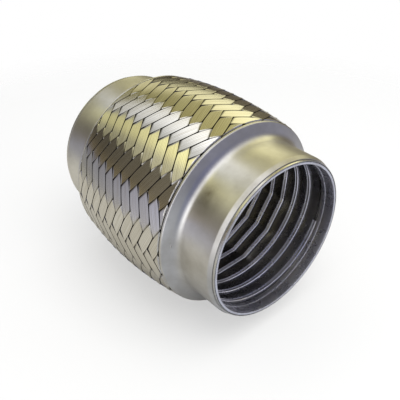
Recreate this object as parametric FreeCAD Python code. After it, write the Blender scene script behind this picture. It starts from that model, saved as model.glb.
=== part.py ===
import FreeCAD, Part
import math
import os

# Braided exhaust flex pipe for a 63.5 mm tube, 102 mm long, all sizes in millimetres.
# It stands on its lower mouth, with +Z along the pipe and the origin under its centre.
# Each part is shaped about the middle of the pipe, at station 0, and lifted by half its length.

# Bore and the walls that nest in each end, from the inside out
bore_radius = 31.9
liner_depth = 0.9
bellows_wall = 0.27
cap_sheet = 1.0
fit_gap = 0.05

# Lengths along the pipe
overall_length = 102.0
mouth_reveal = 1.0

# Pressed end cap: a drawn-in nose, a plain neck, a rounded shoulder and a steep flange
nose_length = 1.8
nose_turn_in = 0.7
nose_round = 1.6
shoulder_round = 3.0
rim_radius = 40.2
rim_reach = 28.2
flange_slope_deg = 19.0

# Woven sleeve: strips in two directions, counted each way, that pass over two and under two
rim_overlap = 0.5
belly_rise = 2.3
strip_count = 24
float_pitch = 5.42
float_rise = 0.9
weave_shift = 1.0
weave_setback = 0.6
braid_wall = 0.6
tuck_wall = 0.5
tuck_gap = 0.1
tuck_setback = 0.3
slit_length = 1.9
slit_width = 0.7
slit_depth = 9.0
slit_ring_count = 4
slit_row_count = 4

# Bellows between the braid and the liner
bellows_side_count = 30
convolution_count = 5
crest_clearance = 0.3
root_rise = 1.45
root_straight = 3.6
root_clearance = 0.85
cuff_flare_length = 1.0

# Strip-wound liner: round turns in the necks, flat-sided turns in the free middle
liner_side_count = 13
liner_pitch = 6.6
liner_rib_width = 1.6
liner_groove = 0.5
liner_end_sleeve = 4.8
liner_corner_deg = 8.0
liner_blend = 6.0
spare_turn_count = 4
turn_clearance = 0.03
flat_clearance = 0.1

# Radii and stations that follow from the sizes above
half_length = overall_length / 2
liner_outer = bore_radius + liner_depth
cuff_inner = (liner_outer + fit_gap) / math.cos(math.pi / bellows_side_count)
cuff_outer = cuff_inner + bellows_wall
neck_inner = cuff_outer + fit_gap
neck_radius = neck_inner + cap_sheet
nose_station = half_length - mouth_reveal
flange_rise = math.tan(math.radians(flange_slope_deg))
flange_stretch = 1 / math.cos(math.radians(flange_slope_deg))
braid_rim_radius = rim_radius + rim_overlap
weave_reach = rim_reach - weave_setback
column_count = 2 * strip_count
column_deg = 360.0 / column_count
row_height = float_pitch / 2
tuck_depth = tuck_gap + tuck_wall * flange_stretch
root_radius = cuff_outer + root_rise
crest_radius = braid_rim_radius - float_rise - braid_wall - crest_clearance
winding_side_count = 2 * liner_side_count
winding_reach = half_length - liner_end_sleeve
pipe_axis = FreeCAD.Vector(0, 0, 1)
point_tolerance = 0.001


def polar(radius, angle_deg, station):
    """Point at a radius and an angle about the pipe's axis."""
    angle = math.radians(angle_deg)
    return FreeCAD.Vector(radius * math.cos(angle), radius * math.sin(angle), station)


def rounded_wire(corners):
    """Closed wire through (radius, station, rounding) corners, rounded by tangent arcs."""
    points = [FreeCAD.Vector(radius, 0, station) for radius, station, rounding in corners]
    edges = []
    spans = []
    for index, here in enumerate(points):
        rounding = corners[index][2]
        to_last = (points[index - 1] - here).normalize()
        to_next = (points[(index + 1) % len(points)] - here).normalize()
        half_angle = to_last.getAngle(to_next) / 2
        reach = rounding / math.tan(half_angle)
        start = here + to_last * reach
        finish = here + to_next * reach
        if rounding > 0:
            inward = (to_last + to_next).normalize()
            middle = here + inward * (rounding / math.sin(half_angle) - rounding)
            edges.append(Part.Arc(start, middle, finish).toShape())
        spans.append((start, finish))
    for index, (start, finish) in enumerate(spans):
        edges.append(Part.LineSegment(spans[index - 1][1], start).toShape())
    return Part.Wire(Part.__sortEdges__(edges))


def mirrored(corners):
    """Section corners of the lower end, from those of the upper end."""
    return [(radius, -station) for radius, station in reversed(corners)]


def flipped(shape):
    """Copy of an upper-end shape, mirrored to the lower end."""
    return shape.mirror(FreeCAD.Vector(), pipe_axis)


def faceted_solid(outlines):
    """Solid bounded by flat facets, its open ends drawn together to points on the axis."""
    facets = []
    edge_uses = {}
    for corners in outlines:
        sides = list(zip(corners, [*corners[1:], corners[0]]))
        if any(start.distanceToPoint(finish) < point_tolerance for start, finish in sides):
            continue
        facets.append(corners)
        for ends in sides:
            key = frozenset(tuple(round(value, 4) for value in end) for end in ends)
            edge_uses.setdefault(key, []).append(ends)
    for uses in edge_uses.values():
        if len(uses) == 1:
            start, finish = uses[0]
            apex = FreeCAD.Vector(0, 0, math.copysign(overall_length, start.z))
            facets.append((start, finish, apex))
    shell = Part.makeShell([Part.Face(Part.makePolygon([*corners, corners[0]])) for corners in facets])
    shell.sewShape()
    solid = Part.makeSolid(shell)
    return solid if solid.Volume > 0 else solid.reversed()


def ring_facets(rings, sides, corner_deg):
    """Flat facets between successive (corner radius, station) rings."""
    facets = []
    step_deg = 360.0 / sides
    for (low_radius, low), (high_radius, high) in zip(rings, rings[1:]):
        for side in range(sides):
            start_deg = corner_deg + side * step_deg
            finish_deg = start_deg + step_deg
            foot = [polar(low_radius, start_deg, low), polar(low_radius, finish_deg, low)]
            head = [polar(high_radius, finish_deg, high), polar(high_radius, start_deg, high)]
            facets.append(foot + head)
    return facets


def flange_station(radius, below=0.0):
    """Station of the flange's inner face at a radius, or of a face that runs below it."""
    return rim_reach - below + (rim_radius - radius) * flange_rise


def make_end_cap():
    """Cap of the upper end: nose, neck, shoulder and flange pressed from one sheet."""
    flange_sheet = cap_sheet * flange_stretch
    section = Part.Face(rounded_wire([
        (neck_inner, nose_station, 0),
        (neck_radius - nose_turn_in, nose_station, 0),
        (neck_radius, nose_station - nose_length, nose_round),
        (neck_radius, flange_station(neck_radius) + flange_sheet, shoulder_round),
        (rim_radius, rim_reach + flange_sheet, 0),
        (rim_radius, rim_reach, 0),
        (neck_inner, flange_station(neck_inner), 0),
    ]))
    return section.revolve(FreeCAD.Vector(), pipe_axis, 360)


def barrel_radius(station):
    """Radius over the crests of the weave, fullest at the middle."""
    share = station / rim_reach
    return braid_rim_radius + belly_rise * (1 - share * share)


def weave_point(corner, raised):
    """Corner of the weave, raised where a strip crests and low where it dips under."""
    column, row = corner
    station = row * row_height + weave_shift
    radius = barrel_radius(station) - (0 if raised else float_rise)
    return polar(radius, column * column_deg, station)


def wrapped(corner):
    """Corner with its column counted within one turn of the pipe."""
    return corner[0] % column_count, corner[1]


def weave_cells():
    """Sides of every crossing: pairs of (corner, raised), where each float crests halfway along.

    The corners of a crossing are its left, top, right and bottom. Its column tells which strip is
    on top and which half of the float it holds, and so which two of its corners are raised.
    """
    crests = {0: (1, 2), 1: (0, 3), 2: (2, 3), 3: (0, 1)}
    last_row = math.ceil((rim_reach + weave_shift) / row_height) + 1
    cells = []
    for row in range(1 - last_row, last_row):
        for column in range(row % 2, column_count, 2):
            corners = [(column - 1, row), (column, row + 1), (column + 1, row), (column, row - 1)]
            raised = [side in crests[column % 4] and abs(corners[side][1]) < last_row for side in range(4)]
            ends = list(zip(corners, raised))
            cells.append([(ends[side], ends[(side + 1) % 4]) for side in range(4)])
    return cells


def weave_triangles():
    """Facets of the weave: the tops of the floats and the small steps between neighbours."""
    cells = weave_cells()
    heights = {}
    for cell in cells:
        for side in cell:
            key = frozenset(wrapped(corner) for corner, raised in side)
            heights.setdefault(key, []).append({wrapped(corner): raised for corner, raised in side})

    def steps(corners):
        """Whether the two strips along a side differ in height, at each of its corners."""
        uses = heights[frozenset(wrapped(corner) for corner in corners)]
        return [uses[0][wrapped(corner)] != uses[-1][wrapped(corner)] for corner in corners]

    def pass_point(corners):
        """Point halfway along a side, where two strips that pass each other are level."""
        points = [weave_point(corner, raised) for corner in corners for raised in (True, False)]
        return (points[0] + points[1] + points[2] + points[3]) * 0.25

    triangles = []
    for cell in cells:
        outline = []
        pivot = 0
        for side in cell:
            corners = [corner for corner, raised in side]
            outline.append(weave_point(*side[0]))
            if all(steps(corners)):
                pivot = len(outline)
                outline.append(pass_point(corners))
        fan = outline[pivot:] + outline[:pivot]
        triangles += [(fan[0], fan[index], fan[index + 1]) for index in range(1, len(fan) - 1)]
    walls = {}
    for cell in cells:
        for side in cell:
            corners = [corner for corner, raised in side]
            walls[frozenset(wrapped(corner) for corner in corners)] = corners
    for corners in walls.values():
        stepped = steps(corners)
        for index in range(2):
            if stepped[index]:
                high = weave_point(corners[index], True)
                low = weave_point(corners[index], False)
                far = pass_point(corners) if all(stepped) else weave_point(corners[1 - index], False)
                triangles.append((high, low, far))
    return triangles


def make_slit_cutters():
    """Radial cutters for the slits that are left where four strips meet."""
    lean = math.degrees(math.atan2(row_height, math.radians(column_deg) * barrel_radius(0)))
    cutters = []
    for ring in range(slit_ring_count):
        station = (ring - (slit_ring_count - 1) / 2) * slit_row_count * row_height + weave_shift
        for turn in range(strip_count // 2):
            cutter = Part.makeBox(slit_depth, slit_length, slit_width)
            cutter.translate(FreeCAD.Vector(-slit_depth / 2, -slit_length / 2, -slit_width / 2))
            cutter.rotate(FreeCAD.Vector(), FreeCAD.Vector(1, 0, 0), lean)
            cutter.translate(FreeCAD.Vector(barrel_radius(station), 0, station))
            cutter.rotate(FreeCAD.Vector(), pipe_axis, 4 * turn * column_deg)
            cutters.append(cutter)
    return Part.makeCompound(cutters)


def make_tucked_end():
    """Upper end of the sleeve's wall, turned in under the flange as far as the bellows."""
    tuck_outer = barrel_radius(weave_reach) - float_rise
    tuck_inner = tuck_outer - braid_wall
    tuck_end = (neck_inner + tuck_setback) / math.cos(math.pi / column_count)
    rings = [
        (tuck_inner, weave_reach),
        (tuck_end, flange_station(tuck_end, tuck_depth)),
        (tuck_end, flange_station(tuck_end, tuck_gap)),
        (tuck_outer, flange_station(tuck_outer, tuck_gap)),
        (tuck_outer, weave_reach),
    ]
    return faceted_solid(ring_facets([*rings, rings[0]], column_count, column_deg / 2))


def make_braid_sleeve():
    """Woven sleeve: one wall with raised floats, slits between them and tucked ends."""
    below_crests = float_rise + braid_wall
    cavity = faceted_solid(ring_facets([
        (barrel_radius(weave_reach) - below_crests, -weave_reach),
        (barrel_radius(0) - below_crests, 0),
        (barrel_radius(weave_reach) - below_crests, weave_reach),
    ], column_count, column_deg / 2))
    span = Part.makeCylinder(2 * rim_radius, 2 * weave_reach, FreeCAD.Vector(0, 0, -weave_reach))
    weave = faceted_solid(weave_triangles()).common(span).cut(cavity)
    upper_end = make_tucked_end()
    return weave.fuse([upper_end, flipped(upper_end)]).cut(make_slit_cutters())


def make_bellows():
    """Gas-tight bellows: convolutions in the middle and a plain cuff in each neck."""
    root_station = flange_station(root_radius, tuck_depth + root_clearance)
    cuff = [
        (cuff_outer, half_length),
        (cuff_outer, root_station + cuff_flare_length),
        (root_radius, root_station),
    ]
    top = root_station - root_straight
    waves = []
    for index in range(2 * convolution_count + 1):
        radius = crest_radius if index % 2 else root_radius
        waves.append((radius, top - index * top / convolution_count))
    outside = cuff + waves + mirrored(cuff)
    inside = [(radius - bellows_wall, station) for radius, station in reversed(outside)]
    return faceted_solid(ring_facets([*outside, *inside, outside[0]], bellows_side_count, 0))


def liner_waist():
    """Station where the liner is narrow enough to enter the bellows' cuff."""
    return flange_station(root_radius, tuck_depth + root_clearance) - bellows_wall


def winding_point(side, depth, station):
    """Point inside the winding, on a circle in the necks and on flats in the middle."""
    round_radius = (bore_radius + turn_clearance) / math.cos(math.pi / winding_side_count)
    flat_radius = bore_radius + flat_clearance
    if side % 2 == 0:
        flat_radius /= math.cos(math.pi / liner_side_count)
    share = min(1.0, max(0.0, (liner_waist() - abs(station)) / liner_blend))
    radius = round_radius + (flat_radius - round_radius) * share + depth
    return polar(radius, liner_corner_deg + side * 360.0 / winding_side_count, station)


def wound_solid(rings, climb):
    """Solid inside (depth, station) rings that climb by the given length in each turn."""
    triangles = []
    for (low_depth, low), (high_depth, high) in zip(rings, rings[1:]):
        for side in range(winding_side_count):
            foot = climb * side / winding_side_count
            head = climb * (side + 1) / winding_side_count
            one = winding_point(side, low_depth, low + foot)
            two = winding_point(side + 1, low_depth, low + head)
            three = winding_point(side + 1, high_depth, high + head)
            four = winding_point(side, high_depth, high + foot)
            triangles += [(one, two, three), (one, three, four)]
    return faceted_solid(triangles)


def make_winding():
    """Hollow inside the turns: ribs and sloping bands that climb one pitch in each turn."""
    turns = math.ceil(2 * winding_reach / liner_pitch) + spare_turn_count
    rings = []
    for turn in range(turns):
        foot = (turn - turns / 2) * liner_pitch
        rings += [(0, foot), (0, foot + liner_rib_width), (liner_groove, foot + liner_rib_width)]
    span = Part.makeCylinder(2 * bore_radius, 2 * winding_reach, FreeCAD.Vector(0, 0, -winding_reach))
    return wound_solid(rings, liner_pitch).common(span)


def make_liner():
    """Strip-wound liner: plain end sleeves, round turns in the necks, flat-sided turns between."""
    depth = liner_outer - (bore_radius + turn_clearance) / math.cos(math.pi / winding_side_count)
    rings = [(depth, liner_waist() - liner_blend), (depth, liner_waist()), (depth, half_length)]
    body = wound_solid(mirrored(rings) + rings, 0)
    foot = FreeCAD.Vector(0, 0, -half_length)
    length = Part.makeCylinder(2 * bore_radius, overall_length, foot)
    bore = Part.makeCylinder(bore_radius, overall_length, foot)
    return body.common(length.cut(bore)).cut(make_winding())


def main():
    upper_cap = make_end_cap()
    parts = {
        "upper_end_cap": upper_cap,
        "lower_end_cap": flipped(upper_cap),
        "braid_sleeve": make_braid_sleeve(),
        "bellows": make_bellows(),
        "interlock_liner": make_liner(),
    }
    os.makedirs("parts", exist_ok=True)
    for name, shape in parts.items():
        shape.translate(FreeCAD.Vector(0, 0, half_length))
        print(name, shape.isValid(), len(shape.Solids), round(shape.Volume, 1), len(shape.Faces))
        shape.exportStep("parts/" + name + ".step")


main()
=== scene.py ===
"""Looks of a braided exhaust flex pipe: woven strips, pressed end caps, bellows and wound liner.

The pipe stands on its lower mouth, and every length is in metres. Angles about the pipe's axis
start at +X and turn towards +Y.
"""

import logging
import math
import random
from dataclasses import dataclass, field
from enum import Enum

import bpy
from mathutils import Matrix, Vector


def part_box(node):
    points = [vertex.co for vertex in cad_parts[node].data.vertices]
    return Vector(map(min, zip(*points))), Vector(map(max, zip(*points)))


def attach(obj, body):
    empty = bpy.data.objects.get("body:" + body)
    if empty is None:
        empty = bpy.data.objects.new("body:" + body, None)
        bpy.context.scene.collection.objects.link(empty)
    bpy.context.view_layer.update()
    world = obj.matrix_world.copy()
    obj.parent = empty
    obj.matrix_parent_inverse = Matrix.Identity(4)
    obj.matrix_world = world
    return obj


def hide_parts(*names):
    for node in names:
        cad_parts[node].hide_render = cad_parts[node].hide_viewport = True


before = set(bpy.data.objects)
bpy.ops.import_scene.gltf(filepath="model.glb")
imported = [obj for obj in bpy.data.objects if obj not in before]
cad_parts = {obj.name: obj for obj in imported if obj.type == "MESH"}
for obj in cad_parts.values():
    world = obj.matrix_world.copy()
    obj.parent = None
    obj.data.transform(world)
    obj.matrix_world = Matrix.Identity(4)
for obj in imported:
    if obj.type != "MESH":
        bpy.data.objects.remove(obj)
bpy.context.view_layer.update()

LOG = logging.getLogger("flex_pipe")
MM = 0.001
TURN = 2 * math.pi
BEAD_STRETCH = 2.2
BEAD_DETAIL = 2
MERGE = 0.001 * MM
MIDDLE = (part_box("interlock_liner")[0].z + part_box("interlock_liner")[1].z) / 2
Colour = tuple[float, float, float]
Point = tuple[float, float]
Corner = tuple[float, float, float]
Socket = bpy.types.NodeSocket
Stops = tuple[tuple[float, Colour], ...]
Spatter = tuple[tuple[float, float, float, float], ...]
Groups = dict[str, bpy.types.NodeTree]


class Lay(Enum):
    """Which way a strip of the weave runs round the pipe as it climbs."""

    LEFT = 1
    RIGHT = -1


def clamp(value: float) -> float:
    """Hold a share between 0 and 1."""
    return max(0.0, min(1.0, value))


def ease(share: float) -> float:
    """Hold a share between 0 and 1, and make its start and end soft."""
    share = clamp(share)
    return share * share * (3 - 2 * share)


class Bench:
    """Plain modelling moves that every piece uses."""

    @staticmethod
    def clear_selection() -> None:
        """Leave object mode with nothing selected."""
        if bpy.context.object and bpy.context.object.mode != "OBJECT":
            bpy.ops.object.mode_set(mode="OBJECT")
        bpy.ops.object.select_all(action="DESELECT")

    @staticmethod
    def pick(piece: bpy.types.Object) -> None:
        """Select one object alone and make it active.

        Args:
            piece: The object.
        """
        Bench.clear_selection()
        piece.select_set(True)
        bpy.context.view_layer.objects.active = piece

    @staticmethod
    def turn(name: str, profile: list[Point], segments: int) -> bpy.types.Object:
        """Turn a closed wall about the pipe's axis from its section.

        Args:
            name: The piece's name.
            profile: Closed section as (radius, height) points, in order.
            segments: Faces round the pipe.

        Returns:
            The turned piece, at the origin, with its faces outward.
        """
        Bench.clear_selection()
        bpy.ops.mesh.primitive_circle_add(vertices=len(profile), radius=profile[0][0])
        piece = bpy.context.object
        piece.name = name
        for vertex, (radius, height) in zip(piece.data.vertices, profile):
            vertex.co = (radius, 0, height)
        bpy.ops.object.mode_set(mode="EDIT")
        bpy.ops.mesh.select_all(action="SELECT")
        bpy.ops.mesh.spin(steps=segments, angle=TURN, center=(0, 0, 0), axis=(0, 0, 1))
        bpy.ops.mesh.select_all(action="SELECT")
        bpy.ops.mesh.remove_doubles(threshold=MERGE)
        Bench.face_outward(piece)
        return piece

    @staticmethod
    def face_outward(piece: bpy.types.Object) -> None:
        """Turn all faces of a closed piece outward.

        Args:
            piece: The piece.
        """
        Bench.pick(piece)
        bpy.ops.object.mode_set(mode="EDIT")
        bpy.ops.mesh.select_all(action="SELECT")
        bpy.ops.mesh.normals_make_consistent(inside=False)
        bpy.ops.object.mode_set(mode="OBJECT")

    @staticmethod
    def smooth(piece: bpy.types.Object, angle_deg: float) -> None:
        """Shade a piece smooth up to an angle between faces."""
        Bench.pick(piece)
        bpy.ops.object.shade_smooth_by_angle(angle=math.radians(angle_deg))

    @staticmethod
    def thicken(piece: bpy.types.Object, thickness: float, offset: float = 0.0) -> None:
        """Give a sheet its thickness.

        Args:
            piece: The sheet.
            thickness: Its thickness.
            offset: 0 for half on each side, -1 for all of it behind the faces.
        """
        Bench.pick(piece)
        modifier = piece.modifiers.new("wall", "SOLIDIFY")
        modifier.thickness = thickness
        modifier.offset = offset
        bpy.ops.object.modifier_apply(modifier=modifier.name)

    @staticmethod
    def join(pieces: list[bpy.types.Object], name: str) -> bpy.types.Object:
        """Join several pieces into one.

        Args:
            pieces: The pieces, of which the first carries the rest.
            name: The joined piece's name.

        Returns:
            The joined piece.
        """
        Bench.clear_selection()
        for piece in pieces:
            piece.select_set(True)
        bpy.context.view_layer.objects.active = pieces[0]
        if len(pieces) > 1:
            bpy.ops.object.join()
        pieces[0].name = name
        return pieces[0]

    @staticmethod
    def beads(spatter: Spatter) -> list[bpy.types.Object]:
        """Model small beads of weld, drawn out round the pipe, that sit in a surface.

        Args:
            spatter: (angle in degrees, radius, station from the middle, half thickness) of each.

        Returns:
            The beads.
        """
        beads = []
        for angle_deg, radius, station, size in spatter:
            Bench.clear_selection()
            bpy.ops.mesh.primitive_ico_sphere_add(subdivisions=BEAD_DETAIL, radius=size)
            bead = bpy.context.object
            bead.data.transform(Matrix.Diagonal((1, BEAD_STRETCH, 1, 1)))
            bead.data.transform(Matrix.Translation((radius, 0, MIDDLE + station)))
            bead.data.transform(Matrix.Rotation(math.radians(angle_deg), 4, "Z"))
            beads.append(bead)
        return beads

    @staticmethod
    def place(piece: bpy.types.Object, node: str, slot: str, material: bpy.types.Material) -> None:
        """Dress a piece, ride it on the pipe and let it stand for its solid.

        Args:
            piece: The finished piece.
            node: The solid that it replaces.
            slot: Its material slot in the record; not used.
            material: Its finish.
        """
        piece.data.materials.clear()
        piece.data.materials.append(material)
        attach(piece, "root")
        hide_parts(node)
        LOG.info("%s: %d faces", piece.name, len(piece.data.polygons))


def rounded(corners: list[Corner], arc_steps: int = 6) -> list[Point]:
    """Round the corners of a closed section by tangent arcs.

    Args:
        corners: (radius, height, rounding) of each corner, in order.
        arc_steps: Faces in each arc.

    Returns:
        The section's (radius, height) points.
    """
    points: list[Point] = []
    for index, (radius, height, rounding) in enumerate(corners):
        here = Vector((radius, height))
        if rounding <= 0:
            points.append((radius, height))
            continue
        last = Vector(corners[index - 1][:2])
        following = Vector(corners[(index + 1) % len(corners)][:2])
        to_last = (last - here).normalized()
        to_next = (following - here).normalized()
        half = to_last.angle(to_next) / 2
        centre = here + (to_last + to_next).normalized() * (rounding / math.sin(half))
        start = here + to_last * (rounding / math.tan(half)) - centre
        finish = here + to_next * (rounding / math.tan(half)) - centre
        for step in range(arc_steps + 1):
            ray = start.slerp(finish, step / arc_steps).normalized() * rounding
            points.append((centre.x + ray.x, centre.y + ray.y))
    return points


def at_end(points: list[Point], end: int = 1) -> list[Point]:
    """Turn stations from the pipe's middle, counted towards one end, into heights."""
    return [(radius, MIDDLE + end * station) for radius, station in points]


class Graph:
    """A node tree that is filled in by short calls."""

    def __init__(self, tree: bpy.types.NodeTree) -> None:
        """Keep the tree that nodes are added to."""
        self.tree = tree

    @classmethod
    def of_material(cls, name: str) -> tuple["Graph", bpy.types.Material, bpy.types.Node]:
        """Start a material.

        Args:
            name: The material's name.

        Returns:
            Its graph, the material and its shader.
        """
        material = bpy.data.materials.new(name)
        material.use_nodes = True
        return cls(material.node_tree), material, material.node_tree.nodes["Principled BSDF"]

    def add(self, kind: str, **settings: object) -> bpy.types.Node:
        """Add a node.

        Args:
            kind: The node's type.
            settings: Properties of the node, or values or outputs for its inputs, under their
                names with spaces as underscores.

        Returns:
            The node.
        """
        node = self.tree.nodes.new(kind)
        for key, value in settings.items():
            if hasattr(node, key):
                setattr(node, key, value)
            else:
                self.feed(node.inputs[key.replace("_", " ")], value)
        return node

    def feed(self, target: Socket, value: object) -> None:
        """Give an input its value.

        Args:
            target: The input.
            value: A number, a colour or place, or an output to link.
        """
        if isinstance(value, Socket):
            self.tree.links.new(value, target)
        else:
            target.default_value = value

    def math(self, operation: str, first: object, second: object = 0.0) -> Socket:
        """Add a calculation with one or two values, each a number or an output.

        Args:
            operation: The calculation's kind.
            first: The first value.
            second: The second value.

        Returns:
            The result.
        """
        node = self.add("ShaderNodeMath", operation=operation)
        self.feed(node.inputs[0], first)
        self.feed(node.inputs[1], second)
        return node.outputs[0]

    def split(self, source: Socket) -> bpy.types.NodeOutputs:
        """Add the three parts of a place or direction."""
        return self.add("ShaderNodeSeparateXYZ", Vector=source).outputs

    def noise(self, source: Socket, scale: float, detail: float) -> Socket:
        """Add soft noise over a place, from 0 to 1, with finer layers by its detail."""
        return self.add("ShaderNodeTexNoise", Vector=source, Scale=scale, Detail=detail).outputs["Fac"]

    def span(self, source: Socket, old: Point, new: Point = (0.0, 1.0)) -> Socket:
        """Map a value from an old range to a new one, and hold it at the ends."""
        ends = {"From_Min": old[0], "From_Max": old[1], "To_Min": new[0], "To_Max": new[1]}
        return self.add("ShaderNodeMapRange", Value=source, **ends).outputs[0]

    def distance(self, source: Socket, spot: Vector | Corner) -> Socket:
        """Add the distance of a place from a fixed spot.

        Args:
            source: The place.
            spot: The fixed spot.

        Returns:
            The distance.
        """
        node = self.add("ShaderNodeVectorMath", operation="DISTANCE", Vector=source)
        node.inputs[1].default_value = spot
        return node.outputs["Value"]

    def ramp(self, source: Socket, stops: Stops) -> Socket:
        """Add a colour ramp.

        Args:
            source: The value that runs along the ramp.
            stops: (position, colour) of each stop, in order.

        Returns:
            The ramp's colour.
        """
        node = self.add("ShaderNodeValToRGB")
        elements = node.color_ramp.elements
        while len(elements) < len(stops):
            elements.new(1.0)
        for element, (position, colour) in zip(elements, stops):
            element.position = position
            element.color = (*colour, 1)
        self.feed(node.inputs[0], source)
        return node.outputs[0]

    def mix(self, share: Socket, first: object, second: object) -> Socket:
        """Mix two colours, each fixed or an output.

        Args:
            share: The share of the second colour.
            first: The first colour.
            second: The second colour.

        Returns:
            The mixed colour.
        """
        node = self.add("ShaderNodeMix", data_type="RGBA")
        self.feed(node.inputs[0], share)
        for socket, value in zip(node.inputs[6:8], (first, second)):
            self.feed(socket, value if isinstance(value, Socket) else (*value, 1))
        return node.outputs[2]

    def choose(self, share: Socket, first: Socket, second: Socket, output: str) -> None:
        """Mix two shaders into the tree's output.

        Args:
            share: The share of the second shader.
            first: The first shader.
            second: The second shader.
            output: The output node's name.
        """
        either = self.add("ShaderNodeMixShader")
        for socket, source in zip(either.inputs, (share, first, second)):
            self.feed(socket, source)
        self.feed(self.tree.nodes[output].inputs[0], either.outputs[0])

    def relief(self, height: Socket, strength: float, distance: float, shader: bpy.types.Node) -> None:
        """Give a shader fine relief, as deep as the height times the distance."""
        bump = self.add("ShaderNodeBump", Height=height, Strength=strength, Distance=distance)
        self.feed(shader.inputs["Normal"], bump.outputs[0])


class Effects:
    """Node groups that more than one finish uses, each built once."""

    @staticmethod
    def group(name: str, inputs: dict[str, float], outputs: list[str]) -> tuple[Graph, dict, dict]:
        """Start a node group.

        Args:
            name: The group's name.
            inputs: Value inputs and their usual values.
            outputs: Value outputs.

        Returns:
            The group's graph, its inputs' sockets and its outputs' sockets by name.
        """
        tree = bpy.data.node_groups.new(name, "ShaderNodeTree")
        for label, value in inputs.items():
            socket = tree.interface.new_socket(label, in_out="INPUT", socket_type="NodeSocketFloat")
            socket.default_value = value
        for label in outputs:
            tree.interface.new_socket(label, in_out="OUTPUT", socket_type="NodeSocketFloat")
        graph = Graph(tree)
        start = graph.add("NodeGroupInput")
        end = graph.add("NodeGroupOutput")
        starts = {key: start.outputs[key] for key in inputs}
        ends = {key: end.inputs[key] for key in outputs}
        return graph, starts, ends

    @classmethod
    def rolling_lines(cls) -> bpy.types.NodeTree:
        """Build fine lines that run round the pipe, as rolling and pressing leave them.

        Returns:
            The node group.
        """
        values = {"Fineness": 3000.0, "Breaks": 6.0}
        graph, inputs, outputs = cls.group("rolling_lines", values, ["Height"])
        parts = graph.split(graph.add("ShaderNodeTexCoord").outputs["Object"])
        turns = graph.math("DIVIDE", graph.math("ARCTAN2", parts[1], parts[0]), TURN)
        along = graph.math("MULTIPLY", turns, inputs["Breaks"])
        across = graph.math("MULTIPLY", parts[2], inputs["Fineness"])
        place = graph.add("ShaderNodeCombineXYZ", X=along, Y=across)
        graph.feed(outputs["Height"], graph.noise(place.outputs[0], 1.0, 3.0))
        return graph.tree

    @classmethod
    def smudges(cls) -> bpy.types.NodeTree:
        """Build soft stains, as handling and heat leave them.

        Returns:
            The node group.
        """
        graph, inputs, outputs = cls.group("smudges", {"Scale": 40.0, "Low": 0.4, "High": 0.7}, ["Mask"])
        place = graph.add("ShaderNodeTexCoord").outputs["Object"]
        grain = {"Scale": inputs["Scale"], "Detail": 5.0, "Roughness": 0.6}
        noise = graph.add("ShaderNodeTexNoise", Vector=place, **grain).outputs["Fac"]
        ends = {"From_Min": inputs["Low"], "From_Max": inputs["High"]}
        graph.feed(outputs["Mask"], graph.add("ShaderNodeMapRange", Value=noise, **ends).outputs[0])
        return graph.tree


@dataclass(frozen=True)
class SteelFinish:
    """A stainless steel finish: clean metal, stains over it, and fine lines in it.

    The recess colour is painted shade, laid on by the piece's recess attribute, and the smudge lies round
    one place.
    """

    name: str
    clean: Colour
    stained: Colour
    roughness: float
    stained_roughness: float
    stain_scale: float
    line_fineness: float
    line_depth: float
    # painted shade for recesses, shown by the recess attribute
    recess_shade: Colour | None = None
    smudge: Colour | None = None
    smudge_place: Corner = (0, 0, 0)
    smudge_reach: float = 9 * MM
    smudge_grain: float = 180.0
    smudge_strength: float = 1.8
    line_height: float = 0.05 * MM

    def build(self, effects: Groups) -> bpy.types.Material:
        """Make the material.

        Args:
            effects: The shared node groups by name.

        Returns:
            The material.
        """
        graph, material, shader = Graph.of_material(self.name)
        shader.inputs["Metallic"].default_value = 1.0
        stains = graph.add("ShaderNodeGroup", node_tree=effects["smudges"], Scale=self.stain_scale)
        metal = graph.mix(stains.outputs["Mask"], self.clean, self.stained)
        # Painted shade: the recess colour darkens where the recess attribute says.
        if self.recess_shade:
            depth = graph.add("ShaderNodeAttribute", attribute_name="recess_shade")
            metal = graph.mix(depth.outputs["Fac"], metal, self.recess_shade)
        if self.smudge:
            metal = graph.mix(self.smudge_share(graph), metal, self.smudge)
        graph.feed(shader.inputs["Base Color"], metal)
        rough = graph.span(stains.outputs["Mask"], (0.0, 1.0), (self.roughness, self.stained_roughness))
        graph.feed(shader.inputs["Roughness"], rough)
        lines = graph.add("ShaderNodeGroup", node_tree=effects["rolling_lines"])
        graph.feed(lines.inputs["Fineness"], self.line_fineness)
        graph.relief(lines.outputs["Height"], self.line_depth, self.line_height, shader)
        return material

    def smudge_share(self, graph: Graph) -> Socket:
        """Add a soft, broken smudge round one place of the surface.

        Args:
            graph: The material's graph.

        Returns:
            The smudge's share of the colour.
        """
        place = graph.add("ShaderNodeTexCoord").outputs["Object"]
        near = graph.span(graph.distance(place, self.smudge_place), (0.0, self.smudge_reach), (1.0, 0.0))
        share = graph.math("MULTIPLY", near, graph.noise(place, self.smudge_grain, 4.0))
        return graph.math("MINIMUM", graph.math("MULTIPLY", share, self.smudge_strength), 1.0)


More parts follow.
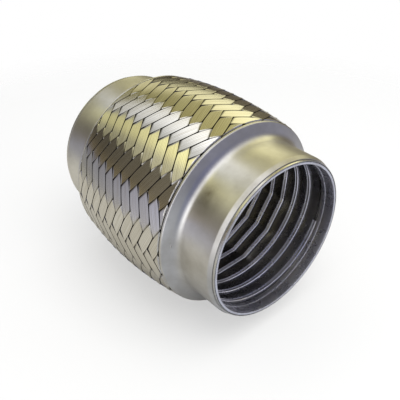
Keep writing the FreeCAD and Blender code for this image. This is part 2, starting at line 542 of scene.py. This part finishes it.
@dataclass(frozen=True)
class StripFinish:
    """Drawn steel strip: bright metal with fine lines along it, painted shade in their grooves, and a tone
    of its own.

    The painted shade, dark where a strip dives under its neighbours, shows by the strip's buried attribute.
    """

    name: str = "drawn_strip_steel"
    bright: Colour = (0.84, 0.83, 0.80)
    warm: Colour = (0.60, 0.57, 0.50)
    # painted shade in the grooves between the wires
    groove: Colour = (0.42, 0.40, 0.35)
    # painted shade where a strip dives under its neighbours
    dive_shade: Colour = (0.05, 0.045, 0.04)
    roughness: float = 0.13
    line_count: float = 7.0
    line_sharpness: float = 6.0
    groove_shade_share: float = 0.6
    groove_depth: float = 0.12
    relief_height: float = 0.08 * MM
    streaks_along: float = 9.0
    streaks_across: float = 13.0
    streak_range: Point = (0.36, 0.64)
    streak_share: float = 0.65
    streak_relief: float = 0.5
    tone_share: float = 0.35
    tone_spread: float = 50.0

    def build(self) -> bpy.types.Material:
        """Make the material.

        Returns:
            The material.
        """
        graph, material, shader = Graph.of_material(self.name)
        shader.inputs["Metallic"].default_value = 1.0
        shader.inputs["Roughness"].default_value = self.roughness
        parts = graph.split(graph.add("ShaderNodeUVMap").outputs[0])
        wire = graph.math("PINGPONG", graph.math("MULTIPLY", parts[1], self.line_count), 0.5)
        wire = graph.math("SMOOTH_MIN", graph.math("MULTIPLY", wire, self.line_sharpness), 1.0)
        groove = graph.math("SUBTRACT", 1.0, wire)
        tone = graph.add("ShaderNodeAttribute", attribute_name="strip_tone").outputs["Fac"]
        stretched = graph.add("ShaderNodeCombineXYZ")
        stretches = (self.streaks_along, self.streaks_across, self.tone_spread)
        for socket, source, stretch in zip(stretched.inputs, (parts[0], parts[1], tone), stretches):
            graph.feed(socket, graph.math("MULTIPLY", source, stretch))
        streaks = graph.noise(stretched.outputs[0], 1.0, 3.0)
        streak = graph.math("MULTIPLY", graph.span(streaks, self.streak_range), self.streak_share)
        share = graph.math("ADD", streak, graph.math("MULTIPLY", tone, self.tone_share))
        metal = graph.mix(share, self.bright, self.warm)
        # Painted shade: the grooves between the wires are darkened.
        metal = graph.mix(graph.math("MULTIPLY", groove, self.groove_shade_share), metal, self.groove)
        # Painted shade: dark where the strip dives under its neighbours.
        buried_shade = graph.add("ShaderNodeAttribute", attribute_name="buried_shade").outputs["Fac"]
        graph.feed(shader.inputs["Base Color"], graph.mix(buried_shade, metal, self.dive_shade))
        relief = graph.math("SUBTRACT", graph.math("MULTIPLY", streaks, self.streak_relief), groove)
        graph.relief(relief, self.groove_depth, self.relief_height, shader)
        return material


@dataclass
class WovenSleeve:
    """The sleeve: flat strips in two directions, each passing over two and under two."""

    strips_each_way: int = 24
    row_height: float = 2.71 * MM
    weave_shift: float = 1.0 * MM
    middle_radius: float = 43.0 * MM
    rim_radius: float = 40.7 * MM
    rim_reach: float = 28.2 * MM
    flange_slope_deg: float = 19.0
    strip_thickness: float = 0.18 * MM
    strip_fill: float = 0.95
    end_narrowing: float = 0.18
    flatness: float = 0.48
    tip_rise: float = 0.36 * MM
    dive_start: float = 0.94
    dive_length: float = 0.13
    dive_clearance: float = 0.06 * MM
    # Where the painted shade on the strips' diving tips starts and fades in, as a share of a column.
    dive_shade_start: float = 0.93
    dive_shade_fade: float = 0.07
    bend_start: float = 27.6 * MM
    bend_radius: float = 0.5 * MM
    end_radius: float = 36.2 * MM
    steps_per_crossing: int = 12
    steps_across: int = 6
    smooth_deg: float = 40.0
    tone_seed: int = 4
    finish: StripFinish = field(default_factory=StripFinish)

    def barrel(self, station: float) -> float:
        """Radius over the crests at a station from the middle."""
        share = station / self.rim_reach
        return self.rim_radius + (self.middle_radius - self.rim_radius) * (1 - share * share)

    def meridian(self, length: float) -> tuple[Vector, Vector]:
        """Follow the sleeve's surface from the middle towards the upper rim and under it.

        Args:
            length: Distance along the surface from the middle, at least 0.

        Returns:
            The (radius, station) point over the crests and the outward normal there.
        """
        plain = min(length, self.bend_start)
        lean = math.atan(2 * (self.middle_radius - self.rim_radius) * plain / self.rim_reach ** 2)
        full_turn = math.radians(90 - self.flange_slope_deg) - lean
        turned = min((length - plain) / self.bend_radius, full_turn)
        rest = length - plain - turned * self.bend_radius
        first = Vector((math.cos(lean), math.sin(lean)))
        normal = Vector((math.cos(lean + turned), math.sin(lean + turned)))
        inward = Vector((-normal.y, normal.x))
        bend = (normal - first) * self.bend_radius
        return Vector((self.barrel(plain), plain)) + bend + inward * rest, normal

    def reach(self) -> float:
        """Find how far the strips reach.

        Returns:
            The length along the surface from the middle to the strips' ends.
        """
        length = self.bend_start
        while self.meridian(length)[0].x > self.end_radius:
            length += self.bend_radius / 4
        return length

    def lift(self, along: float, offset: float) -> float:
        """Height of a strip's middle over a round sleeve, flat on each float and twisted between.

        Args:
            along: Columns from the float's crest, -2 to 2, measured along the strip.
            offset: Columns from the float's crest, measured round the sleeve.

        Returns:
            The height.
        """
        column_angle = math.pi / self.strips_each_way
        neighbour = offset - math.copysign(2, along)
        own_plane = 1 / math.cos(offset * column_angle) - 1
        other_plane = 1 / math.cos(neighbour * column_angle) - 1
        share = ease((abs(along) - self.dive_start) / self.dive_length)
        plane = own_plane + (other_plane - own_plane) * share
        dive = (self.strip_thickness + self.dive_clearance) * share
        return self.flatness * self.middle_radius * plane - dive

    def strip(self, lay: Lay, phase: int) -> bpy.types.Object:
        """Model one strip of a lay.

        Args:
            lay: The strip's direction.
            phase: Which of the two places in the pattern the strip has, 0 or 1.

        Returns:
            The strip, with its thickness.
        """
        reach = self.reach() / self.row_height
        crossings = 2 * math.floor(reach)
        Bench.clear_selection()
        bpy.ops.mesh.primitive_grid_add(
            x_subdivisions=crossings * self.steps_per_crossing, y_subdivisions=self.steps_across, size=2
        )
        strip = bpy.context.object
        column_angle = math.pi / self.strips_each_way
        crest_column = 0.5 if lay is Lay.LEFT else 2.5
        buried_shade = []
        for vertex in strip.data.vertices:
            along = vertex.co.x * reach
            place = (lay.value * along + 2 * phase - crest_column + 2) % 4 - 2
            # share of painted shade on the diving tips
            buried_shade.append(clamp((abs(place) - self.dive_shade_start) / self.dive_shade_fade))
            width = self.strip_fill - self.end_narrowing * (1 - abs(math.cos(place * math.pi / 2)))
            across = vertex.co.y * width / 2
            row = max(-reach, min(reach, along + across * lay.value))
            column = lay.value * along - across + 2 * phase
            length = row * self.row_height + self.weave_shift
            point, normal = self.meridian(abs(length))
            depth = self.tip_rise + self.strip_thickness / 2 - self.lift(place, place - across)
            point = point - normal * depth
            angle = column * column_angle
            height = MIDDLE + math.copysign(point.y, length)
            vertex.co = (point.x * math.cos(angle), point.x * math.sin(angle), height)
        strip.data.attributes.new("buried_shade", "FLOAT", "POINT").data.foreach_set("value", buried_shade)
        Bench.thicken(strip, self.strip_thickness)
        return strip

    def build(self) -> None:
        """Model both lays, dress them and let them stand for the sleeve."""
        chance = random.Random(self.tone_seed)
        material = self.finish.build()
        copies = self.strips_each_way // 2
        for lay, name in ((Lay.LEFT, "braid_strips_left"), (Lay.RIGHT, "braid_strips_right")):
            strips = []
            for phase in (0, 1):
                first = self.strip(lay, phase)
                for copy in range(copies):
                    strip = first.copy()
                    strip.data = first.data.copy()
                    strip.data.transform(Matrix.Rotation(TURN * copy / copies, 4, "Z"))
                    tone = strip.data.attributes.new("strip_tone", "FLOAT", "POINT")
                    tone.data.foreach_set("value", [chance.random()] * len(strip.data.vertices))
                    bpy.context.collection.objects.link(strip)
                    strips.append(strip)
                bpy.data.objects.remove(first)
            sleeve = Bench.join(strips, name)
            Bench.face_outward(sleeve)
            Bench.smooth(sleeve, self.smooth_deg)
            Bench.place(sleeve, "braid_sleeve", "braid_steel", material)


@dataclass
class EndCap:
    """A pressed end cap: rounded nose, neck, shoulder fold and flange."""

    neck_inner: float = 33.35 * MM
    sheet: float = 1.0 * MM
    nose_station: float = 50.0 * MM
    nose_length: float = 1.8 * MM
    nose_turn_in: float = 0.7 * MM
    nose_round: float = 1.6 * MM
    rim_radius: float = 40.2 * MM
    rim_reach: float = 28.2 * MM
    flange_slope_deg: float = 19.0
    shoulder_round: float = 4.2 * MM
    rim_bevel: float = 0.25 * MM
    edge_round: float = 0.12 * MM
    segments: int = 192
    smooth_deg: float = 30.0
    spatter: Spatter = (
        (198.0, 36.5 * MM, 30.55 * MM, 0.30 * MM),
        (195.5, 36.9 * MM, 30.40 * MM, 0.22 * MM),
        (37.0, 33.9 * MM, 49.6 * MM, 0.35 * MM),
        (40.5, 34.0 * MM, 49.2 * MM, 0.25 * MM),
    )
    finish: SteelFinish = SteelFinish(
        name="pressed_cap_steel",
        clean=(0.74, 0.73, 0.70),
        stained=(0.47, 0.45, 0.40),
        roughness=0.30,
        stained_roughness=0.46,
        stain_scale=32.0,
        line_fineness=2500.0,
        line_depth=0.18,
        smudge=(0.26, 0.24, 0.21),
        smudge_place=(-31.8 * MM, 13.1 * MM, MIDDLE + 36.8 * MM),
    )

    def flange(self, radius: float) -> float:
        """Station of the flange's inner face at a radius."""
        return self.rim_reach + (self.rim_radius - radius) * math.tan(math.radians(self.flange_slope_deg))

    def section(self, end: int) -> list[Point]:
        """Section of the cap's wall.

        Args:
            end: 1 for the upper end, -1 for the lower end.

        Returns:
            The section's (radius, height) points.
        """
        outer = self.neck_inner + self.sheet
        rise = math.tan(math.radians(self.flange_slope_deg))
        face = self.sheet / math.cos(math.radians(self.flange_slope_deg))
        edge = self.edge_round
        corners = [
            (self.neck_inner, self.nose_station, edge),
            (outer - self.nose_turn_in, self.nose_station, edge),
            (outer, self.nose_station - self.nose_length, self.nose_round),
            (outer, self.flange(outer) + face, self.shoulder_round),
            (self.rim_radius - self.rim_bevel, self.rim_reach + face + self.rim_bevel * rise, edge),
            (self.rim_radius, self.rim_reach + face - self.rim_bevel, edge),
            (self.rim_radius, self.rim_reach, edge),
            (self.neck_inner, self.flange(self.neck_inner), edge),
        ]
        return at_end(rounded(corners), end)

    def build(self, effects: Groups) -> None:
        """Model both caps, dress them and let them stand for their solids.

        Args:
            effects: The shared node groups by name.
        """
        material = self.finish.build(effects)
        for end, node in ((1, "upper_end_cap"), (-1, "lower_end_cap")):
            cap = Bench.turn(node.replace("end_cap", "cap_pressing"), self.section(end), self.segments)
            if end == 1:
                cap = Bench.join([cap, *Bench.beads(self.spatter)], cap.name)
            Bench.smooth(cap, self.smooth_deg)
            Bench.place(cap, node, "cap_steel", material)


@dataclass
class Bellows:
    """The gas-tight bellows, with a plain cuff that ends inside each neck."""

    cuff_outer: float = 33.3 * MM
    wall: float = 0.27 * MM
    crest_radius: float = 38.6 * MM
    root_radius: float = 34.7 * MM
    convolutions: int = 5
    pitch: float = 10.0 * MM
    cuff_reach: float = 29.6 * MM
    cuff_flare: float = 1.0 * MM
    half_length: float = 51.0 * MM
    fold_round: float = 0.9 * MM
    edge_round: float = 0.1 * MM
    arc_steps: int = 4
    segments: int = 144
    smooth_deg: float = 35.0
    finish: SteelFinish = SteelFinish(
        name="bellows_sheet_steel",
        clean=(0.66, 0.65, 0.61),
        stained=(0.55, 0.53, 0.48),
        roughness=0.22,
        stained_roughness=0.32,
        stain_scale=60.0,
        line_fineness=2500.0,
        line_depth=0.15,
    )

    def build(self, effects: Groups) -> None:
        """Model the bellows, dress it and let it stand for its solid.

        Args:
            effects: The shared node groups by name.
        """
        top = self.convolutions * self.pitch / 2
        cuff = [
            (self.cuff_outer, self.half_length, self.edge_round),
            (self.cuff_outer, self.cuff_reach, 0),
            (self.root_radius, self.cuff_reach - self.cuff_flare, 0),
        ]
        waves = []
        for index in range(2 * self.convolutions + 1):
            radius = self.crest_radius if index % 2 else self.root_radius
            waves.append((radius, top - index * self.pitch / 2, self.fold_round))
        lower_cuff = [(radius, -station, round_off) for radius, station, round_off in reversed(cuff)]
        outer = cuff + waves + lower_cuff
        inner = [(radius - self.wall, station, round_off) for radius, station, round_off in reversed(outer)]
        section = at_end(rounded(outer + inner, self.arc_steps))
        piece = Bench.turn("bellows_sheet", section, self.segments)
        Bench.smooth(piece, self.smooth_deg)
        Bench.place(piece, "bellows", "bellows_steel", self.finish.build(effects))


@dataclass
class WoundLiner:
    """The strip-wound liner: ribs and bands that climb one pitch in each turn."""

    bore_radius: float = 31.9 * MM
    sleeve_wall: float = 0.9 * MM
    half_length: float = 51.0 * MM
    end_sleeve: float = 4.8 * MM
    pitch: float = 6.6 * MM
    rib_width: float = 1.6 * MM
    groove: float = 0.5 * MM
    sides: int = 13
    corner_deg: float = 8.0
    flat_clearance: float = 0.1 * MM
    flat_reach: float = 22.3 * MM
    round_reach: float = 31.0 * MM
    strip_thickness: float = 0.25 * MM
    edge_round: float = 0.1 * MM
    lip_near: float = 0.10 * MM
    lip_far: float = 0.25 * MM
    lip_foot: float = 0.40 * MM
    lip_drop: float = 0.06 * MM
    valley: float = 0.14 * MM
    band_edge: float = 0.3 * MM
    band_edge_bow: float = 0.04 * MM
    band_bow: float = 0.07 * MM
    spatter: Spatter = (
        (20.5, 32.4 * MM, 33.9 * MM, 0.22 * MM),
        (22.5, 32.4 * MM, 32.6 * MM, 0.22 * MM),
        (327.0, 32.0 * MM, 44.0 * MM, 0.28 * MM),
        (305.0, 32.3 * MM, 37.0 * MM, 0.26 * MM),
    )
    # Painted shade in the liner's bands: where it starts, how fast it comes in, how far into the bore it
    # deepens, and how light it stays by the mouth.
    bore_shade_from: float = 0.2 * MM
    bore_shade_over: float = 0.2 * MM
    bore_shade_reach: float = 26 * MM
    mouth_shade: float = 0.58
    ring_seat: float = 0.3 * MM
    ring_rise: float = 0.1 * MM
    seam_merge: float = 0.004 * MM
    steps_per_side: int = 12
    arc_steps: int = 3
    segments: int = 192
    smooth_deg: float = 35.0
    finish: SteelFinish = SteelFinish(
        name="wound_liner_steel",
        clean=(0.90, 0.90, 0.96),
        stained=(0.68, 0.66, 0.68),
        roughness=0.22,
        stained_roughness=0.36,
        stain_scale=90.0,
        line_fineness=3500.0,
        line_depth=0.1,
        # painted shade in the bands, darkest deep in the bore
        recess_shade=(0.10, 0.095, 0.09),
    )

    def apothem_factor(self, angle: float) -> float:
        """Find how far a flat-sided turn lies from the axis at an angle.

        Args:
            angle: The angle about the axis.

        Returns:
            The radius, as a multiple of the flats' distance.
        """
        side = TURN / self.sides
        offset = (angle - math.radians(self.corner_deg)) % side - side / 2
        return 1 / math.cos(offset)

    def wall_radius(self, depth: float, angle: float, station: float) -> float:
        """Radius of the strip at a place.

        Args:
            depth: How far the strip lies outside the ribs there.
            angle: Angle about the pipe's axis.
            station: Height from the pipe's middle.

        Returns:
            The radius.
        """
        share = ease((self.round_reach - abs(station)) / (self.round_reach - self.flat_reach))
        plain = self.bore_radius + depth
        flat = (plain + self.flat_clearance) * self.apothem_factor(angle)
        return plain + (flat - plain) * share

    def recess_shade_at(self, place: Vector) -> float:
        """Find the share of painted shade at a place: none on the ribs, and most in the bands deep inside.

        Args:
            place: The place.

        Returns:
            The share of the painted shade.
        """
        radius = math.hypot(place.x, place.y)
        angle = math.atan2(place.y, place.x)
        depth = radius - self.wall_radius(0.0, angle, place.z - MIDDLE)
        band = clamp((depth - self.bore_shade_from) / self.bore_shade_over)
        inside = (self.half_length - self.end_sleeve - abs(place.z - MIDDLE)) / self.bore_shade_reach
        return band * (self.mouth_shade + (1 - self.mouth_shade) * clamp(inside))

    def strip_section(self) -> list[Point]:
        """Draw the strip across one pitch: a rib with a lip at each edge, then a band.

        Returns:
            The section's (rise along the pipe, depth) points.
        """
        rib = self.rib_width
        edge_depth = self.groove + self.band_edge_bow
        return [
            (0.0, self.groove),
            (0.0, self.lip_drop),
            (self.lip_near, 0.0),
            (self.lip_far, 0.0),
            (self.lip_foot, self.valley),
            (rib - self.lip_foot, self.valley),
            (rib - self.lip_far, 0.0),
            (rib - self.lip_near, 0.0),
            (rib, self.lip_drop),
            (rib, self.groove),
            (rib + self.band_edge, edge_depth),
            ((self.pitch + rib) / 2, self.groove + self.band_bow),
            (self.pitch - self.band_edge, edge_depth),
            (self.pitch, self.groove),
        ]

    def winding(self) -> bpy.types.Object:
        """Model the strip, wound from one end sleeve to the other.

        Returns:
            The strip, as a sheet.
        """
        section = self.strip_section()
        span = self.half_length - self.end_sleeve
        turns = 2 * span / self.pitch
        steps = round(turns * self.sides * self.steps_per_side)
        Bench.clear_selection()
        bpy.ops.mesh.primitive_grid_add(x_subdivisions=steps, y_subdivisions=len(section) - 1, size=1)
        strip = bpy.context.object
        for vertex in strip.data.vertices:
            progress = vertex.co.x + 0.5
            rise, depth = section[round((vertex.co.y + 0.5) * (len(section) - 1))]
            angle = math.radians(self.corner_deg) + progress * turns * TURN
            station = (2 * progress - 1) * span + rise - self.pitch / 2
            station = max(-span, min(span, station))
            radius = self.wall_radius(depth, angle, station)
            vertex.co = (radius * math.cos(angle), radius * math.sin(angle), MIDDLE + station)
        Bench.pick(strip)
        bpy.ops.object.mode_set(mode="EDIT")
        bpy.ops.mesh.select_all(action="SELECT")
        bpy.ops.mesh.remove_doubles(threshold=self.seam_merge)
        bpy.ops.object.mode_set(mode="OBJECT")
        return strip

    def end_sleeves(self) -> list[bpy.types.Object]:
        """Model the plain sleeve at each end of the winding, and the ring rib beside it.

        Returns:
            The sleeves and rings.
        """
        bore, tip, edge = self.bore_radius, self.half_length, self.edge_round
        start = tip - self.end_sleeve
        sleeve = [
            (bore, tip, edge),
            (bore + self.sleeve_wall, tip, edge),
            (bore + self.sleeve_wall, start, 0),
            (bore, start, edge),
        ]
        ring = [
            (bore + self.groove, start + self.ring_seat, 0),
            (bore - self.ring_rise, start + self.ring_seat, edge),
            (bore - self.ring_rise, start - self.rib_width, edge),
            (bore + self.groove, start - self.rib_width, 0),
        ]
        return [
            Bench.turn(name, at_end(rounded(corners, self.arc_steps), end), self.segments)
            for end in (1, -1)
            for name, corners in (("end_sleeve", sleeve), ("end_ring", ring))
        ]

    def build(self, effects: Groups) -> None:
        """Model the liner, dress it and let it stand for its solid.

        Args:
            effects: The shared node groups by name.
        """
        strip = self.winding()
        # Painted shade: the bands, most of all deep inside, are darkened through the recess attribute.
        shade_shares = strip.data.attributes.new("recess_shade", "FLOAT", "POINT")
        shade_shares.data.foreach_set("value", [self.recess_shade_at(vertex.co) for vertex in strip.data.vertices])
        Bench.thicken(strip, self.strip_thickness, -1)
        pieces = [strip, *self.end_sleeves(), *Bench.beads(self.spatter)]
        liner = Bench.join(pieces, "wound_strip_liner")
        Bench.smooth(liner, self.smooth_deg)
        Bench.place(liner, "interlock_liner", "liner_steel", self.finish.build(effects))


@dataclass
class Studio:
    """The surroundings: a pale ground beside the pipe, soft light and the camera."""

    camera_azimuth_deg: float = -112.72
    camera_elevation_deg: float = 38.63
    camera_roll_deg: float = 123.85
    camera_distance: float = 243.7 * MM
    camera_offset: Point = (-2.81 * MM, -6.41 * MM)
    lens_mm: float = 50.21
    sensor_mm: float = 36.0
    clip_start: float = 10 * MM
    up_deg: float = 114.3
    belly_radius: float = 43.0 * MM
    ground_size: float = 0.9
    ground_cells: int = 8
    ground_clear: float = 0.16
    ground_fade: float = 0.30
    ground_colour: Colour = (0.86, 0.86, 0.86)
    ground_veil: float = 0.46
    # painted shade: the darker tints that metal mirrors of the ground, beside and ahead
    ground_mirrored_shade: Colour = (0.56, 0.54, 0.48)
    ground_mirrored_shade_front: Colour = (0.43, 0.445, 0.49)
    even_light: Colour = (0.82, 0.82, 0.82)
    key_power: float = 2.1
    key_size: float = 0.5
    key_distance: float = 0.6
    key_lean: float = 0.4
    key_colour: Colour = (1.0, 1.0, 0.98)
    low_heights: Point = (-0.85, -0.50)
    low_strengths: Point = (0.70, 1.30)
    front_heights: Point = (-0.05, 0.45)
    band_rise: float = 0.22
    band_height: float = 0.48
    band_colour: Colour = (1.7, 1.7, 1.75)
    front: Stops = (
        (0.00, (0.30, 0.30, 0.36)),
        (0.25, (0.20, 0.21, 0.33)),
        (0.45, (0.19, 0.20, 0.33)),
        (0.60, (0.26, 0.28, 0.35)),
        (0.85, (0.37, 0.38, 0.40)),
        (1.00, (0.30, 0.30, 0.36)),
    )
    surround: Stops = (
        (0.00, (0.30, 0.27, 0.22)),
        (0.05, (0.12, 0.10, 0.07)),
        (0.11, (0.15, 0.13, 0.08)),
        (0.13, (1.20, 1.14, 0.72)),
        (0.19, (1.00, 0.93, 0.52)),
        (0.21, (0.50, 0.46, 0.22)),
        (0.28, (0.38, 0.34, 0.14)),
        (0.297, (1.30, 1.30, 1.28)),
        (0.325, (1.15, 1.16, 1.18)),
        (0.345, (0.55, 0.56, 0.56)),
        (0.372, (0.50, 0.50, 0.48)),
        (0.383, (1.10, 1.05, 0.54)),
        (0.405, (1.00, 0.95, 0.50)),
        (0.422, (0.48, 0.46, 0.33)),
        (0.445, (0.52, 0.49, 0.32)),
        (0.463, (0.135, 0.122, 0.09)),
        (0.515, (0.14, 0.12, 0.085)),
        (0.538, (0.24, 0.19, 0.10)),
        (0.552, (0.34, 0.34, 0.43)),
        (0.61, (0.45, 0.45, 0.51)),
        (0.66, (0.42, 0.41, 0.36)),
        (0.82, (0.54, 0.52, 0.48)),
        (0.95, (0.42, 0.40, 0.34)),
    )
    glow: Stops = (
        (0.15, (0, 0, 0)),
        (0.30, (0.8, 0.8, 0.8)),
        (0.55, (1, 1, 1)),
        (0.68, (0.6, 0.6, 0.6)),
        (0.85, (0, 0, 0)),
    )

    def mirrored_room(self, graph: Graph) -> Socket:
        """Add the colours of the room that polished metal mirrors.

        Bands of colour stand round the pipe, a calmer front lies beyond its upper mouth, and a
        bright band runs between the two.

        Args:
            graph: The world's graph.

        Returns:
            The colour in each direction.
        """
        parts = graph.split(graph.add("ShaderNodeTexCoord").outputs["Generated"])
        angle = graph.math("ARCTAN2", parts[1], parts[0])
        turns = graph.math("FRACT", graph.math("ADD", graph.math("DIVIDE", angle, TURN), 1.0))
        surround = graph.ramp(turns, self.surround)
        strength = graph.span(parts[2], self.low_heights, self.low_strengths)
        sides = graph.add("ShaderNodeVectorMath", operation="SCALE", Vector=surround, Scale=strength)
        front = graph.span(parts[2], self.front_heights)
        colour = graph.mix(front, sides.outputs[0], graph.ramp(turns, self.front))
        level = graph.math("ABSOLUTE", graph.math("SUBTRACT", parts[2], self.band_rise))
        level = graph.math("MINIMUM", graph.math("DIVIDE", level, self.band_height), 1.0)
        band = graph.math("MULTIPLY", graph.math("SUBTRACT", 1.0, level), graph.ramp(turns, self.glow))
        return graph.mix(band, colour, self.band_colour)

    def world(self) -> None:
        """Surround the pipe with even light, a room for metal to mirror, and a white view."""
        world = bpy.data.worlds.new("studio")
        bpy.context.scene.world = world
        world.use_nodes = True
        graph = Graph(world.node_tree)
        rays = graph.add("ShaderNodeLightPath").outputs
        light = world.node_tree.nodes["Background"]
        colour = graph.mix(rays["Is Glossy Ray"], self.even_light, self.mirrored_room(graph))
        graph.feed(light.inputs["Color"], colour)
        white = graph.add("ShaderNodeBackground", Color=(1, 1, 1, 1))
        graph.choose(rays["Is Camera Ray"], light.outputs[0], white.outputs[0], "World Output")

    def ground_finish(self, spot: Vector) -> bpy.types.Material:
        """Make the ground's pale finish, which clears with distance and from behind, and which metal
        mirrors in a darker tint, painted shade.

        Args:
            spot: The middle of the ground.

        Returns:
            The material.
        """
        graph, material, shader = Graph.of_material("pale_ground")
        shader.inputs["Roughness"].default_value = 1.0
        shader.inputs["Specular IOR Level"].default_value = 0.0
        rays = graph.add("ShaderNodeLightPath").outputs
        place = graph.add("ShaderNodeTexCoord").outputs["Object"]
        # Painted shade: what metal mirrors of the ground is darker than the ground itself.
        ahead = graph.span(graph.split(place)[2], (MIDDLE, 2 * MIDDLE))
        mirrored = graph.mix(ahead, self.ground_mirrored_shade, self.ground_mirrored_shade_front)
        tone = graph.mix(rays["Is Glossy Ray"], self.ground_colour, mirrored)
        graph.feed(shader.inputs["Base Color"], tone)
        fade = graph.span(graph.distance(place, spot), (self.ground_clear, self.ground_fade))
        behind = graph.add("ShaderNodeNewGeometry").outputs["Backfacing"]
        veil = graph.math("MULTIPLY", rays["Is Camera Ray"], self.ground_veil)
        hidden = graph.math("MAXIMUM", graph.math("MAXIMUM", fade, behind), veil)
        clear = graph.add("ShaderNodeBsdfTransparent")
        graph.choose(hidden, shader.outputs[0], clear.outputs[0], "Material Output")
        return material

    def ground(self, above: Vector) -> None:
        """Lay a pale ground against the sleeve, seen from the pipe's side only.

        Args:
            above: The direction from the ground to the pipe.
        """
        spot = Vector((0, 0, MIDDLE)) - above * self.belly_radius
        Bench.clear_selection()
        cells = self.ground_cells
        bpy.ops.mesh.primitive_grid_add(x_subdivisions=cells, y_subdivisions=cells, size=self.ground_size)
        ground = bpy.context.object
        ground.name = "ground"
        turn = above.to_track_quat("Z", "Y").to_matrix().to_4x4()
        ground.data.transform(Matrix.Translation(spot) @ turn)
        ground.data.materials.append(self.ground_finish(spot))

    def key_lamp(self, above: Vector) -> None:
        """Hang a soft lamp that shines at the pipe's middle and that metal doesn't mirror.

        Args:
            above: The direction from the ground to the pipe.
        """
        towards = (above + Vector((0, 0, self.key_lean))).normalized()
        data = bpy.data.lights.new("key", "AREA")
        data.energy = self.key_power
        data.size = self.key_size
        data.color = self.key_colour
        lamp = bpy.data.objects.new("key", data)
        lamp.visible_glossy = False
        bpy.context.scene.collection.objects.link(lamp)
        lamp.location = Vector((0, 0, MIDDLE)) + towards * self.key_distance
        lamp.rotation_euler = towards.to_track_quat("Z", "Y").to_euler()

    def camera(self) -> None:
        """Set the camera where the photograph's stood."""
        azimuth = math.radians(self.camera_azimuth_deg)
        elevation = math.radians(self.camera_elevation_deg)
        roll = math.radians(self.camera_roll_deg)
        back = Vector((
            math.sin(azimuth) * math.cos(elevation),
            -math.cos(azimuth) * math.cos(elevation),
            math.sin(elevation),
        ))
        level_right = Vector((0, 0, 1)).cross(back).normalized()
        level_up = back.cross(level_right)
        right = level_right * math.cos(roll) + level_up * math.sin(roll)
        up = back.cross(right)
        data = bpy.data.cameras.new("camera")
        data.lens = self.lens_mm
        data.sensor_width = self.sensor_mm
        data.clip_start = self.clip_start
        camera = bpy.data.objects.new("camera", data)
        bpy.context.scene.collection.objects.link(camera)
        aside, below = self.camera_offset
        spot = Vector((0, 0, MIDDLE)) - right * aside + up * below + back * self.camera_distance
        turn = Matrix((right, up, back)).transposed().to_4x4()
        camera.matrix_world = Matrix.Translation(spot) @ turn
        bpy.context.scene.camera = camera

    def build(self) -> None:
        """Set up the surroundings."""
        bpy.context.scene.view_settings.view_transform = "Standard"
        up = math.radians(self.up_deg)
        above = Vector((math.cos(up), math.sin(up), 0))
        self.world()
        self.ground(above)
        self.key_lamp(above)
        self.camera()


def main() -> None:
    """Build the pipe's pieces in order, then its surroundings."""
    logging.basicConfig(level=logging.INFO, format="%(name)s: %(message)s")
    effects = {"rolling_lines": Effects.rolling_lines(), "smudges": Effects.smudges()}
    WovenSleeve().build()
    EndCap().build(effects)
    Bellows().build(effects)
    WoundLiner().build(effects)
    Studio().build()


if __name__ == "__main__":
    main()
